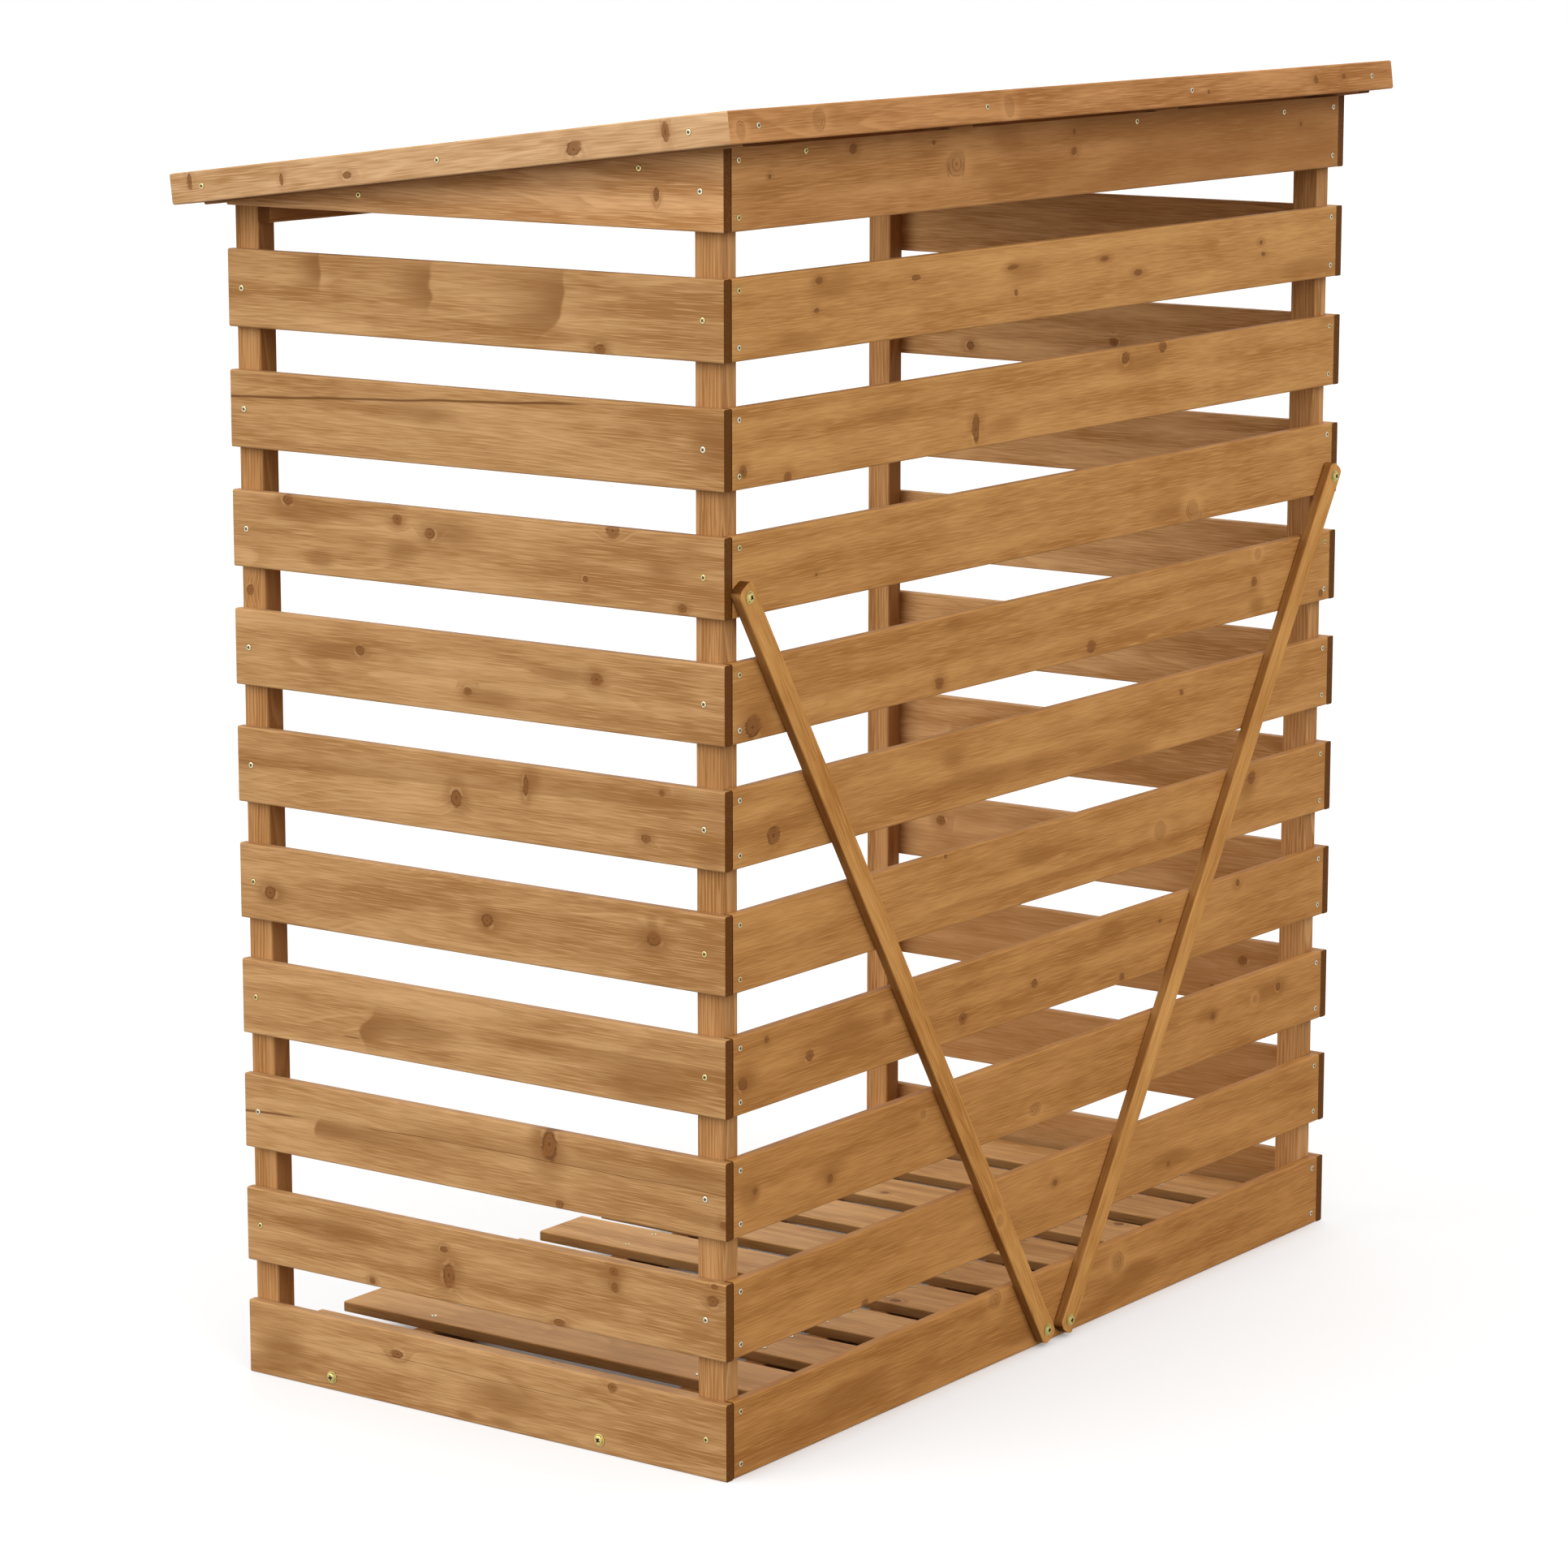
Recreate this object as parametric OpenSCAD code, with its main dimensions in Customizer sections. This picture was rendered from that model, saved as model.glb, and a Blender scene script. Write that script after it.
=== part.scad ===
// Slatted timber log store with a lean-to roof: open at the front, slatted at the back and both
// sides, braced in a V across the back, with a raised slat floor. Sizes are in millimetres.
// The origin is on the ground under the middle of the roof, +X is right and -Y is the open front.

/* [Walls] */
// Width over the outer faces of the two side walls
wall_w = 1410; // [1200:10:2000]
// Depth of the side walls from front to back
wall_d = 750; // [550:10:900]
// Number of slats in the back wall
slat_count = 11; // [9:1:13]
// Height of one wall slat
slat_h = 95; // [80:1:110]
// Thickness of one wall slat
slat_t = 14; // [10:1:20]
// Open gap between one wall slat and the next
slat_gap = 52.5; // [40:0.5:65]
// Open joint between the end of a back slat and the side wall
slat_end_gap = 1.5; // [0.5:0.5:4]
// Radius of the eased edges of all boards and posts
arris_r = 2.5; // [1:0.5:4]

/* [Posts] */
// Post size across the front of the store
post_w = 30; // [22:1:45]
// Post size from front to back
post_d = 38; // [28:1:60]

/* [Front rail] */
// Height of the rail under the roof, on the back of the front posts
rail_h = 28; // [20:1:45]
// Thickness of the rail
rail_t = 18; // [12:1:30]

/* [Floor] */
// Number of floor slats
floor_slat_count = 10; // [7:1:11]
// Width of one floor slat
floor_slat_w = 95; // [80:1:105]
// Thickness of one floor slat
floor_slat_t = 14; // [10:1:20]
// Gap left round the floor at the posts and at the back wall
floor_clearance = 2; // [0.5:0.5:5]
// Height of the two bearers under the floor
bearer_h = 34; // [24:1:50]
// Bearer size from front to back
bearer_d = 30; // [24:1:50]
// From the front of the walls to the middle of the front bearer
front_bearer_inset = 136; // [80:1:200]
// From the back of the walls to the middle of the back bearer
back_bearer_inset = 190; // [120:1:260]

/* [Roof] */
// Slope of the roof, down towards the front, in degrees
roof_slope = 7; // [5:0.5:8.5]
// How far the roof reaches past each side wall
roof_side_reach = 50; // [30:1:80]
// How far the roof reaches past the walls at the front and at the back
roof_end_reach = 47; // [30:1:80]
// Height of the fascia boards round the roof
fascia_h = 38; // [30:1:55]
// Thickness of the fascia boards
fascia_t = 14; // [10:1:22]
// Gap between the top of the walls and the lower edge of the fascia
fascia_lift = 3; // [1:0.5:8]
// Number of boards across the roof
roof_board_count = 6; // [4:1:8]
// Thickness of the roof boards
roof_board_t = 14; // [10:1:20]
// Width of one rafter
rafter_w = 30; // [22:1:45]
// From the outer face of a side wall in to the middle of its end rafter
end_rafter_in = 6; // [0:1:12]
// From the middle of the roof to the middle of each middle rafter
mid_rafter_x = 235; // [150:5:350]

/* [Braces] */
// Width of a brace
brace_w = 30; // [22:1:45]
// Thickness of a brace
brace_t = 14; // [10:1:20]
// Radius on the four corners of a brace
brace_corner_r = 10; // [4:0.5:11]
// From the bolt to the end of the brace
brace_end = 16; // [12:0.5:19]
// Number of slats below the one that takes the top bolts
brace_slat_count = 7; // [4:1:8]
// Height of the top bolt above the lower edge of its slat
brace_top_up = 25; // [20:1:60]
// Height of the foot bolt above the ground
brace_foot_up = 23; // [22:1:60]
// From the side of the store in to the top bolt
brace_top_in = 30; // [20:1:80]
// From the middle of the back wall to each foot bolt
brace_foot_out = 27; // [26:1:80]

/* [Hidden] */

$fn = 48;
RIGHT = 1;
LEFT = -1;

// Colours of the stained softwood
side_stain = [0.69, 0.51, 0.32];
back_stain = [0.68, 0.47, 0.27];
post_stain = [0.66, 0.46, 0.26];
brace_stain = [0.63, 0.42, 0.23];
floor_stain = [0.72, 0.55, 0.38];
fascia_stain = [0.74, 0.56, 0.34];
hidden_stain = [0.60, 0.42, 0.25];

// Faces of the walls
side_x = wall_w / 2;
side_in_x = side_x - slat_t;
front_y = -wall_d / 2;
back_y = wall_d / 2;
back_in_y = back_y - slat_t;
slat_pitch = slat_h + slat_gap;
top_slat_z = (slat_count - 1) * slat_pitch;
wall_top = top_slat_z + slat_h;
back_slat_x = side_in_x - slat_end_gap;
uncut_slat_h = slat_h + arris_r;

// Faces of the posts and of the floor between them
post_in_x = side_in_x - post_w;
front_post_back_y = front_y + post_d;
uncut_rail_h = rail_h + rail_t * tan(roof_slope) + arris_r;
floor_first_x = post_in_x - floor_clearance;
floor_l = back_in_y - floor_clearance - front_y;
floor_pitch = (2 * floor_first_x - floor_slat_w) / (floor_slat_count - 1);

// Roof edges, measured along the slope from above the middle of the store
fascia_top = fascia_lift + fascia_h;
rafter_h = fascia_top - roof_board_t;
mitre_spare = fascia_t;
roof_x = side_x + roof_side_reach;
roof_y = back_y + roof_end_reach;
roof_back = (roof_y + fascia_lift * sin(roof_slope)) / cos(roof_slope);
roof_front = (fascia_top * sin(roof_slope) - roof_y) / cos(roof_slope);
deck_x = roof_x - fascia_t;
deck_back = roof_back - fascia_t;
deck_front = roof_front + fascia_t;
roof_board_w = (deck_back - deck_front) / roof_board_count;

// Bolt places of the right brace, seen on the back wall
brace_top = [side_x - brace_top_in, brace_slat_count * slat_pitch + brace_top_up];
brace_foot = [brace_foot_out, brace_foot_up];
brace_run = brace_top - brace_foot;
brace_l = norm(brace_run) + 2 * brace_end;

// Height at which the roof sits on the walls, at a place from front to back
function seat_z(y) = wall_top - (back_y - y) * tan(roof_slope);

// Lower x of a board that is on the given side of the store and reaches out to outer_x
function board_x(side, outer_x, thickness) = side == RIGHT ? outer_x - thickness : -outer_x;

// A rectangle from the origin with its four corners rounded
module eased_rect(size, r) {
  translate([r, 0])
    square([size.x - 2 * r, size.y]);
  translate([0, r])
    square([size.x, size.y - 2 * r]);
  for (x = [r, size.x - r])
    for (y = [r, size.y - r])
      translate([x, y])
        circle(r);
}

// A planed board with eased edges, running along x from the origin
module board_along_x(size) {
  rotate([90, 0, 90])
    linear_extrude(size.x)
      eased_rect([size.y, size.z], arris_r);
}

// A planed board with eased edges, running along y from the origin
module board_along_y(size) {
  translate([0, size.y, 0])
    rotate([90, 0, 0])
      linear_extrude(size.y)
        eased_rect([size.x, size.z], arris_r);
}

// Cuts its children off along the seat of the roof
module cut_to_roof() {
  intersection() {
    children();
    translate([-side_x, 0, 0])
      rotate([90, 0, 90])
        linear_extrude(wall_w)
          polygon([[front_y, 0], [back_y, 0], [back_y, wall_top], [front_y, seat_z(front_y)]]);
  }
}

// Places its children on the seat of the roof: x across, y up the slope, z square to it
module on_roof() {
  translate([0, 0, seat_z(0)])
    rotate([roof_slope, 0, 0])
      children();
}

// A corner post behind the side slats, cut to the slope of the roof
module post(side, y0) {
  color(post_stain)
    cut_to_roof()
      translate([board_x(side, side_in_x, post_w), y0, 0])
        linear_extrude(wall_top)
          eased_rect([post_w, post_d], arris_r);
}

module front_post(side) {
  post(side, front_y);
}

module back_post(side) {
  post(side, back_in_y - post_d);
}

// One slat of the back wall, counted from the ground, between the two side walls
module back_slat(number) {
  color(back_stain)
    cut_to_roof()
      translate([-back_slat_x, back_in_y, (number - 1) * slat_pitch])
        board_along_x([2 * back_slat_x, slat_t, number == slat_count ? uncut_slat_h : slat_h]);
}

// The full slats of one side wall, level with those of the back wall
module side_slats(side) {
  color(side_stain)
    for (i = [0 : slat_count - 2])
      translate([board_x(side, side_x, slat_t), front_y, i * slat_pitch])
        board_along_y([slat_t, wall_d, slat_h]);
}

// The top board of one side wall: a slat level with the top one of the back wall, cut along the roof
module top_board(side) {
  color(side_stain)
    cut_to_roof()
      translate([board_x(side, side_x, slat_t), front_y, top_slat_z])
        board_along_y([slat_t, wall_d, uncut_slat_h]);
}

// Rail across the back of the front posts, planed to the slope of the roof
module front_rail() {
  color(post_stain)
    cut_to_roof()
      translate([-side_in_x, front_post_back_y, seat_z(front_post_back_y) - rail_h])
        board_along_x([2 * side_in_x, rail_t, uncut_rail_h]);
}

// One arm of the V on the back wall, from its foot near the middle to the side of the store
module brace(side) {
  color(brace_stain)
    mirror([side == LEFT ? 1 : 0, 0, 0])
      translate([brace_foot.x, back_y + brace_t, brace_foot.y])
        rotate([90, 0, 0])
          rotate(atan2(brace_run.y, brace_run.x))
            translate([-brace_end, -brace_w / 2, 0])
              intersection() {
                board_along_x([brace_l, brace_w, brace_t]);
                linear_extrude(brace_t)
                  eased_rect([brace_l, brace_w], brace_corner_r);
              }
}

// A bearer across the ground between the side walls
module bearer(middle_y) {
  color(hidden_stain)
    translate([-side_in_x, middle_y - bearer_d / 2, 0])
      board_along_x([2 * side_in_x, bearer_d, bearer_h]);
}

module front_bearer() {
  bearer(front_y + front_bearer_inset);
}

module back_bearer() {
  bearer(back_y - back_bearer_inset);
}

// Floor slats from the open front to the back wall, spaced evenly between the posts
module floor_slats() {
  color(floor_stain)
    for (i = [0 : floor_slat_count - 1])
      translate([i * floor_pitch - floor_first_x, front_y, bearer_h])
        board_along_y([floor_slat_w, floor_l, floor_slat_t]);
}

// Places an uncut fascia board on the roof and mitres it to the given outline
module mitred_fascia(outline) {
  color(fascia_stain)
    on_roof()
      translate([0, 0, fascia_lift])
        intersection() {
          children();
          linear_extrude(fascia_h)
            polygon(outline);
        }
}

// Fascia across the front or the back, mitred at both corners
module end_fascia(edge, inner_edge) {
  mitred_fascia([[-roof_x, edge], [roof_x, edge], [deck_x, inner_edge], [-deck_x, inner_edge]])
    translate([-roof_x - mitre_spare, min(edge, inner_edge), 0])
      board_along_x([2 * (roof_x + mitre_spare), fascia_t, fascia_h]);
}

// Fascia along one side, mitred at both corners
module side_fascia(side) {
  mitred_fascia([[side * roof_x, roof_front], [side * roof_x, roof_back],
    [side * deck_x, deck_back], [side * deck_x, deck_front]])
    translate([board_x(side, roof_x, fascia_t), roof_front - mitre_spare, 0])
      board_along_y([fascia_t, roof_back - roof_front + 2 * mitre_spare, fascia_h]);
}

// A rafter from the front fascia to the back fascia, under the roof boards
module rafter(middle_x) {
  color(hidden_stain)
    on_roof()
      translate([middle_x - rafter_w / 2, deck_front, 0])
        board_along_y([rafter_w, deck_back - deck_front, rafter_h]);
}

module end_rafter(side) {
  rafter(side * (side_x - end_rafter_in));
}

module mid_rafter(side) {
  rafter(side * mid_rafter_x);
}

// One board of the roof, counted from the front, from side fascia to side fascia
module roof_board(number) {
  color(back_stain)
    on_roof()
      translate([-deck_x, deck_front + (number - 1) * roof_board_w, rafter_h])
        board_along_x([2 * deck_x, roof_board_w, roof_board_t]);
}

front_post(RIGHT);  // right_front_post
back_post(RIGHT);  // right_back_post
front_post(LEFT);  // left_front_post
back_post(LEFT);  // left_back_post
side_slats(RIGHT);  // right_side_slats
side_slats(LEFT);  // left_side_slats
top_board(RIGHT);  // right_top_board
top_board(LEFT);  // left_top_board
front_rail();
brace(RIGHT);  // right_brace
brace(LEFT);  // left_brace
front_bearer();
back_bearer();
floor_slats();
end_fascia(roof_front, deck_front);  // front_fascia
end_fascia(roof_back, deck_back);  // back_fascia
side_fascia(RIGHT);  // right_fascia
side_fascia(LEFT);  // left_fascia
end_rafter(RIGHT);  // right_end_rafter
mid_rafter(RIGHT);  // right_mid_rafter
mid_rafter(LEFT);  // left_mid_rafter
end_rafter(LEFT);  // left_end_rafter
for (i = [1 : slat_count])
  back_slat(i);
for (i = [1 : roof_board_count])
  roof_board(i);
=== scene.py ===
# %% [markdown]
# # A slatted log store
# The store is a plain timber frame: four posts, slatted walls on three sides, a slatted floor and a
# lean-to roof. The frame that is loaded here already holds every board at its real size. This lesson adds
# what a joiner and a painter add: screws, bolts, and a stain that lets the grain and the knots show.

# %% Load the timber
import itertools
import math
import random
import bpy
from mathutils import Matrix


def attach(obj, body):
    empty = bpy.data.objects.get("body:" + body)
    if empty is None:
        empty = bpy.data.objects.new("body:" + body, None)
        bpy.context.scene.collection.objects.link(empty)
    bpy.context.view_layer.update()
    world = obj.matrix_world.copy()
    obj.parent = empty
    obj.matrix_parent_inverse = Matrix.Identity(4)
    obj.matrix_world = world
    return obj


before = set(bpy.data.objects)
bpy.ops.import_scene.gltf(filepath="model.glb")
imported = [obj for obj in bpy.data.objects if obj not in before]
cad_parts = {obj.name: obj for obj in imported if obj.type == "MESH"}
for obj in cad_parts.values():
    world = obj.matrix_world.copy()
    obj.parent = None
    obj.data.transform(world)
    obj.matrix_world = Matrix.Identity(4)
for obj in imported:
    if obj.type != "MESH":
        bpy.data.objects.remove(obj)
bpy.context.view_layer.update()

from types import SimpleNamespace

import bmesh
import bpy
from mathutils import Matrix, Vector

# %% [markdown]
# ## Camera
# The store is seen from behind its right-hand corner with a long lens. The camera looks down a little, so
# that the whole roof edge and the floor slats show. A camera could be aimed with a constraint, but a turn
# and a tilt in degrees are easier to read and to change.

# %% Camera
camera_turn = math.radians(125.77)
camera_tilt = math.radians(10.81)
camera_place = Vector((5.273, 3.750, 1.927))
camera_lens_mm = 115.2

to_camera = Vector((
    math.sin(camera_turn) * math.cos(camera_tilt),
    -math.cos(camera_turn) * math.cos(camera_tilt),
    math.sin(camera_tilt),
))
camera = bpy.data.objects.new("camera", bpy.data.cameras.new("camera"))
bpy.context.scene.collection.objects.link(camera)
camera.data.lens = camera_lens_mm
camera.data.sensor_width = 36
camera.location = camera_place
camera.rotation_mode = "QUATERNION"
camera.rotation_quaternion = (-to_camera).to_track_quat("-Z", "Y")
bpy.context.scene.camera = camera
bpy.context.scene.view_settings.view_transform = "Standard"
print("camera at", tuple(camera_place), "lens", camera_lens_mm, "mm")

# %% [markdown]
# ## Shader sums
# A shader is a chain of small sums. Wiring them by hand takes a page for each material, so one small class
# wraps a node's output: plain plus, minus and times then add the Math nodes, and one method adds any other
# node. Colours and directions go through Mix and Vector Math, which keep their three numbers apart.

# %% A wire that can be used in sums
class Wire:
    """One output of a shader node."""

    def __init__(self, tree, socket=None):
        self.tree = tree
        self.socket = socket

    def make(self, kind, settings=None, values=None, out=0):
        """Adds a node: first its settings, then the value or link of each socket."""
        node = self.tree.nodes.new(kind)
        for name, value in (settings or {}).items():
            setattr(node, name, value)
        for name, value in (values or {}).items():
            if isinstance(value, Wire):
                self.tree.links.new(value.socket, node.inputs[name])
            else:
                node.inputs[name].default_value = value
        return Wire(self.tree, node.outputs[out] if node.outputs else None)

    def math(self, operation, other=0.0):
        return self.make("ShaderNodeMath", {"operation": operation}, {0: self, 1: other})

    def __add__(self, other):
        return self.math("ADD", other)

    def __radd__(self, other):
        return self.math("ADD", other)

    def __sub__(self, other):
        return self.math("SUBTRACT", other)

    def __rsub__(self, other):
        return self.make("ShaderNodeMath", {"operation": "SUBTRACT"}, {0: other, 1: self})

    def __mul__(self, other):
        return self.math("MULTIPLY", other)

    def __rmul__(self, other):
        return self.math("MULTIPLY", other)

    def __truediv__(self, other):
        return self.math("DIVIDE", other)

    def __abs__(self):
        return self.math("ABSOLUTE")

    def rise(self, low, high):
        """0 below low, 1 above high, and a smooth slope between them."""
        ends = {"Value": self, "From Min": low, "From Max": high}
        return self.make("ShaderNodeMapRange", {"interpolation_type": "SMOOTHSTEP"}, ends)

    def dot(self, axis):
        """How far a place lies along an axis."""
        values = {0: self, 1: axis}
        return self.make("ShaderNodeVectorMath", {"operation": "DOT_PRODUCT"}, values, out="Value")

    def from_spot(self, scale, offset):
        """How far a place lies from a spot, once both are scaled and moved so that the spot is at 0."""
        values = {0: self, 1: scale, 2: offset}
        moved = self.make("ShaderNodeVectorMath", {"operation": "MULTIPLY_ADD"}, values)
        return self.make("ShaderNodeVectorMath", {"operation": "LENGTH"}, {0: moved}, out="Value")

    def vector(self, x, y, z):
        return self.make("ShaderNodeCombineXYZ", None, {"X": x, "Y": y, "Z": z})

    def stretched(self, x, y, z):
        return self.make("ShaderNodeVectorMath", {"operation": "MULTIPLY"}, {0: self, 1: (x, y, z)})

    def cloud(self, detail):
        """Soft noise around 0.5, at a place."""
        return self.make("ShaderNodeTexNoise", None, {"Vector": self, "Scale": 1.0, "Detail": detail})

    def drift(self):
        """Slow noise around 0.5, along one number."""
        values = {"W": self, "Scale": 1.0, "Detail": 0.0}
        return self.make("ShaderNodeTexNoise", {"noise_dimensions": "1D"}, values)

    def tint(self, colour, amount):
        """This colour, with some of another colour over it."""
        return self.make("ShaderNodeMix", {"data_type": "RGBA"}, {0: amount, 6: self, 7: colour}, out=2)

    def between(self, first, second):
        """From one colour to another as this value goes from 0 to 1."""
        return self.make("ShaderNodeMix", {"data_type": "RGBA"}, {0: self, 6: first, 7: second}, out=2)


def srgb(red, green, blue):
    """A screen colour, 0 to 255, as the linear colour that a shader takes."""
    return (*(((v / 255 + 0.055) / 1.055) ** 2.4 for v in (red, green, blue)), 1.0)


def new_finish(name):
    """An empty material, its shader, and a loose wire to start its sums from."""
    finish = bpy.data.materials.new(name)
    finish.use_nodes = True
    return finish, finish.node_tree.nodes["Principled BSDF"], Wire(finish.node_tree)


print("honey stain as a shader colour:", [round(v, 3) for v in srgb(188, 145, 98)])

# %% [markdown]
# ## Floor and light
# The store stands on a white sweep that keeps a soft shadow, and a deep one under the floor slats. To the
# timber the sweep is a duller floor, so that the undersides of the boards stay brown, as they do in a room.
# One broad low lamp stands off the open front and lights the right-hand wall and the inside of the
# left-hand one. Weaker lamps fill the back and the left, and an even sky fills the rest. A ring of area
# lamps would do the same, but they would have to be moved for a store of another size.

# %% Floor
floor_reach = 45.0
floor_bounce = (0.22, 0.21, 0.20, 1.0)
shadow_share = 0.5
shade_edge = 0.05
white = (1.0, 1.0, 1.0, 1.0)


def seen_directly(wire):
    """1 for rays from the camera, also by way of metal or glass, and 0 for rays that only carry light."""
    kinds = ("Camera", "Glossy", "Transmission")
    rays = [wire.make("ShaderNodeLightPath", out="Is %s Ray" % kind) for kind in kinds]
    return rays[0].math("MAXIMUM", rays[1]).math("MAXIMUM", rays[2])


def under_the_slats(wire):
    """1 on the ground under the floor slats, and 0 beyond them."""
    place = wire.make("ShaderNodeTexCoord", out="Object")
    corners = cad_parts["floor_slats"].bound_box
    shade = 1.0
    for axis, low, high in zip(((1, 0, 0), (0, 1, 0)), corners[0], corners[6]):
        along = place.dot(axis)
        shade = shade * along.rise(low - shade_edge, low) * (1 - along.rise(high, high + shade_edge))
    return shade


sweep = bmesh.new()
bmesh.ops.create_circle(sweep, cap_ends=True, radius=floor_reach, segments=64)
floor_mesh = bpy.data.meshes.new("studio_floor")
sweep.to_mesh(floor_mesh)
sweep.free()
studio_floor = bpy.data.objects.new("studio_floor", floor_mesh)
bpy.context.scene.collection.objects.link(studio_floor)

floor_finish, _, wire = new_finish("studio_floor")
floor_finish.node_tree.nodes.clear()
lit = wire.make("ShaderNodeBsdfDiffuse", None, {"Color": white})
glow = wire.make("ShaderNodeEmission", None, {"Color": white, "Strength": 1.0})
dull = wire.make("ShaderNodeBsdfDiffuse", None, {"Color": floor_bounce})
share = shadow_share + (1 - shadow_share) * under_the_slats(wire)
bright_floor = wire.make("ShaderNodeMixShader", None, {0: share, 1: glow, 2: lit})
floor_look = wire.make("ShaderNodeMixShader", None, {0: seen_directly(wire), 1: dull, 2: bright_floor})
wire.make("ShaderNodeOutputMaterial", None, {"Surface": floor_look})
floor_mesh.materials.append(floor_finish)
print("floor radius", floor_reach, "m")

# %% Sky and lamps
sky_level = 0.80
lamps = {
    "front_lamp": (Vector((0.80, -0.45, 0.40)), 1.8),
    "back_lamp": (Vector((0.20, 0.86, 0.46)), 1.15),
    "left_lamp": (Vector((-0.80, -0.40, 0.40)), 0.85),
}
lamp_softness = math.radians(50)

world = bpy.data.worlds.new("studio_sky")
bpy.context.scene.world = world
world.use_nodes = True
sky = world.node_tree.nodes["Background"]
sky.inputs["Color"].default_value = white
sky_strength = sky_level + (1 - sky_level) * seen_directly(Wire(world.node_tree))
world.node_tree.links.new(sky_strength.socket, sky.inputs["Strength"])

for name, (lamp_from, lamp_level) in lamps.items():
    lamp = bpy.data.objects.new(name, bpy.data.lights.new(name, "SUN"))
    lamp.data.energy = lamp_level
    lamp.data.angle = lamp_softness
    lamp.rotation_mode = "QUATERNION"
    lamp.rotation_quaternion = lamp_from.to_track_quat("Z", "Y")
    bpy.context.scene.collection.objects.link(lamp)
    print(name, "level", lamp_level)

# %% [markdown]
# ## How each board lies
# Grain runs along a board, so a stain has to know which way that is. Each board is measured here along three
# directions of its own: along the grain, across the face and through the thickness. They come from the
# timber itself, also for the sloping roof boards and the leaning braces.

# %% Directions and measures
RIGHT = Vector((1, 0, 0))
BACKWARD = Vector((0, 1, 0))
UP = Vector((0, 0, 1))


def reach(node, axis):
    """The lowest and the highest place of a piece along a direction."""
    places = [corner.co.dot(axis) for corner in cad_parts[node].data.vertices]
    return min(places), max(places)


def middle(node, axis):
    return sum(reach(node, axis)) / 2


roof_run = middle("back_fascia", BACKWARD) - middle("front_fascia", BACKWARD)
roof_rise = middle("back_fascia", UP) - middle("front_fascia", UP)
UP_ROOF = Vector((0, roof_run, roof_rise)).normalized()
OFF_ROOF = RIGHT.cross(UP_ROOF)

slat_low, slat_high = reach("back_slat_1", UP)
slat_wide = slat_high - slat_low
slat_step = reach("back_slat_2", UP)[0] - slat_low
back_slat_count = sum(name.startswith("back_slat_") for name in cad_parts)
side_slat_count = back_slat_count - 1
print("roof slope %.2f degrees" % math.degrees(math.atan2(roof_rise, roof_run)))
print("slats %.1f mm wide, one every %.1f mm" % (slat_wide * 1000, slat_step * 1000))

# %% [markdown]
# ## One board out of the log
# Every point of a piece gets its place on its own board. A wall of slats that is one piece of the frame is
# told apart by height. Each board is also given its own stretch of one long log, so that no two boards show
# the same grain, and its own thirst for stain.

# %% Lay a board out
log_cut = 1.9
boards_a_piece = 12
edge_slack = 0.004
pieces_cut = itertools.count(1)


def lay_out(node, along, across, through, count=1, wide=None):
    """Starts the finish of a piece and measures its points along the piece's own directions."""
    finish, shader, wire = new_finish(node)
    board = SimpleNamespace(finish=finish, shader=shader, wire=wire)
    low_far = reach(node, along)[0]
    low_over, high_over = reach(node, across)
    low_deep, high_deep = reach(node, through)
    board.wide = wide or high_over - low_over
    board.thick = high_deep - low_deep

    place = wire.make("ShaderNodeTexCoord", out="Object")
    board.far = place.dot(along) - low_far
    board.over = place.dot(across) - low_over
    board.deep = place.dot(through) - (low_deep + high_deep) / 2
    board.off_centre = board.over - board.wide / 2
    piece = next(pieces_cut)
    board.in_log = board.far + boards_a_piece * piece * log_cut
    board.thirst = random.Random(piece).random()
    if count > 1:
        step = (high_over - low_over - board.wide) / (count - 1)
        number = ((board.over + edge_slack) / step).math("FLOOR")
        board.off_centre = board.off_centre - number * step
        board.in_log = board.in_log + number * log_cut
        board.thirst = wire.make("ShaderNodeTexWhiteNoise", {"noise_dimensions": "1D"}, {"W": number})
    board.grain = wire.vector(board.in_log, board.over, board.deep)
    facing = wire.make("ShaderNodeTexCoord", out="Normal")
    board.end_on = abs(facing.dot(along))
    board.edge_on = abs(facing.dot(across))
    return board


print("each board is cut", log_cut, "m further up the log")

# %% [markdown]
# ## Knots and rings
# Softwood grows in rings, pale and dark, round a pith that runs along the log. A board cut from it shows
# them as long lines or pointed arches, and a knot, the foot of a branch, pushes them aside. A picture of
# wood would repeat. Here the rings are worked out in space, as the distance from a pith that wanders, so
# that faces, edges and ends agree with each other.

# %% Nearest knot and growth rings
knot_stretch = 1.15
knot_push = 1.1
knot_reach = 4.0
ring_width = 0.0050
ring_waver = 0.007
FLAT_SAWN = SimpleNamespace(aside=0.0, wander=0.11, under=0.030, reach=0.120)
QUARTER_SAWN = SimpleNamespace(aside=0.10, wander=0.02, under=0.0, reach=0.020)


def nearest(board, spots):
    """The distance from the nearest spot, in that spot's size.

    Spots are (far, over, radius) or (far, over, half_long, half_tall), in mm.
    """
    if not spots:
        return None
    place = board.wire.vector(board.far, board.over, 0.0)
    found = None
    for far, over, radius, *height in spots:
        half_long = radius if height else radius * knot_stretch
        half_tall = height[0] if height else radius
        scale = (1000 / half_long, 1000 / half_tall, 0.0)
        distance = place.from_spot(scale, (-far / half_long, -over / half_tall, 0.0))
        found = found.math("MINIMUM", distance) if found else distance
    return found


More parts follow.
